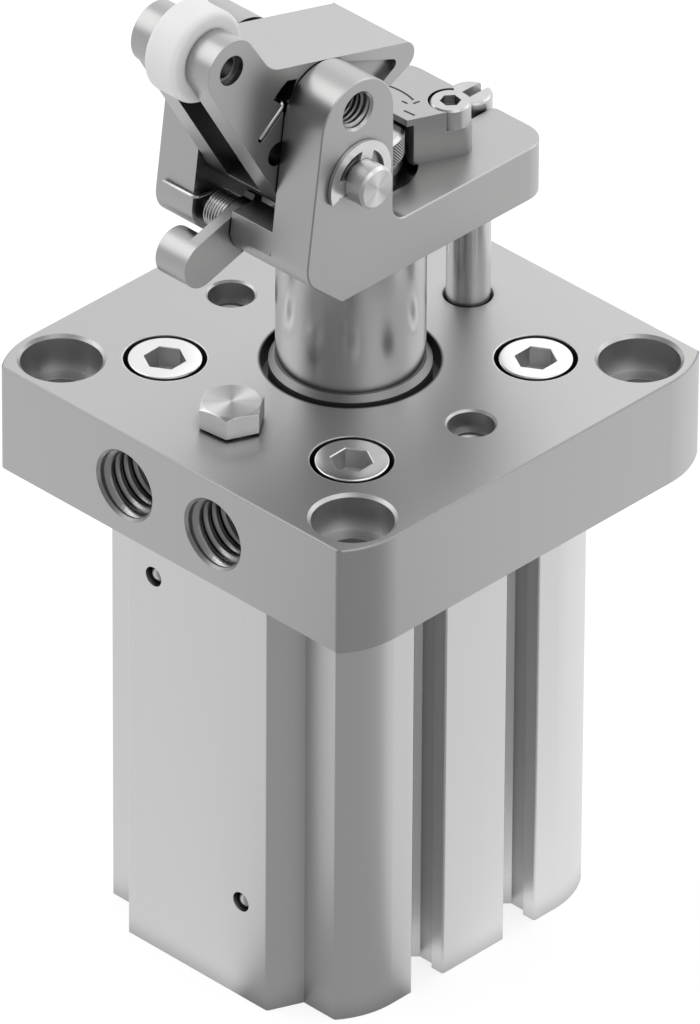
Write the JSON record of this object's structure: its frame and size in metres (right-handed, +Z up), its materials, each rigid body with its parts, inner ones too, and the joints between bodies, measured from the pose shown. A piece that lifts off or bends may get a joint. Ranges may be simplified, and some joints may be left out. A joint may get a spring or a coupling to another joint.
{
  "type": "stopper cylinder",
  "caption": "Flange mounted pneumatic stopper with a square barrel, a guided rod head, a sprung toggle lever with a roller, a latch finger and a shock absorber in the rod.",
  "frame": {"origin": "centre of the four corner holes on the flange's mounting face, on the piston rod's axis", "axes": "+Z up along the piston rod, +X towards the guide pin, +Y along the lever's pivot pin"},
  "size_m": [0.0699, 0.068, 0.152],
  "materials": {
    "body_aluminium": "satin anodised",
    "head_steel": "plated, fine matt",
    "lever_steel": "plated, fine matt",
    "bright_steel": "turned",
    "rod_chrome": "polished",
    "roller_resin": "smooth white resin",
    "seal_rubber": "matt",
    "bush_bronze": "sintered",
    "magnet_dark": "matt",
    "band_resin": "smooth",
    "spring_steel": "drawn wire"
  },
  "bodies": {
    "housing": {"flange_cap": "body_aluminium", "barrel": "body_aluminium", "end_cap": "body_aluminium", "retaining_ring": "spring_steel", "flange_seal": "seal_rubber", "end_cap_seal": "seal_rubber", "rod_bush": "bush_bronze", "rod_wiper": "bright_steel", "flange_screws": "bright_steel", "stop_bolt": "bright_steel", "guide_pin": "bright_steel", "channel_balls": "bright_steel", "upper_bumper": "seal_rubber", "lower_bumper": "seal_rubber"},
    "head": {"piston": "body_aluminium", "piston_seals": "seal_rubber", "guide_band": "band_resin", "magnet_ring": "magnet_dark", "piston_rod": "rod_chrome", "clevis_head": "head_steel", "pivot_pin": "bright_steel", "pin_clips": "spring_steel", "absorber_body": "bright_steel", "clamp_block": "head_steel", "clamp_screw": "bright_steel", "latch_pin": "bright_steel", "latch_spring": "spring_steel"},
    "lever": {"lever": "lever_steel", "lever_spring": "spring_steel", "roller_axle": "bright_steel"},
    "roller": {"roller": "roller_resin"},
    "plunger": {"absorber_plunger": "bright_steel"},
    "adjuster": {"adjusting_ring": "bright_steel"},
    "latch": {"latch_finger": "head_steel"}
  },
  "joints": [
    {"name": "rod_slide", "type": "slide", "parent": "housing", "child": "head", "axis": [0, 0, 1], "range_m": [-0.02, 0]},
    {"name": "lever_pivot", "type": "hinge", "parent": "head", "child": "lever", "pos_m": [-0.01325, 0, 0.0564], "axis": [0, 1, 0], "range_deg": [0, 28]},
    {"name": "plunger_slide", "type": "slide", "parent": "head", "child": "plunger", "axis": [0, 0, 1], "range_m": [-0.0066, 0]},
    {"name": "roller_spin", "type": "hinge", "parent": "lever", "child": "roller", "pos_m": [-0.02945, 0, 0.07685], "axis": [0, 1, 0], "continuous": true},
    {"name": "latch_pivot", "type": "hinge", "parent": "head", "child": "latch", "pos_m": [-0.0188, 0, 0.0454], "axis": [0, 1, 0], "range_deg": [0, 20]},
    {"name": "ring_turn", "type": "hinge", "parent": "head", "child": "adjuster", "pos_m": [0, 0, 0.0484], "axis": [0, 0, 1], "range_deg": [0, 330]}
  ],
  "couplings": [
    {"joint": "plunger_slide", "follows": "lever_pivot", "m_per_rad": -0.013415}
  ]
}
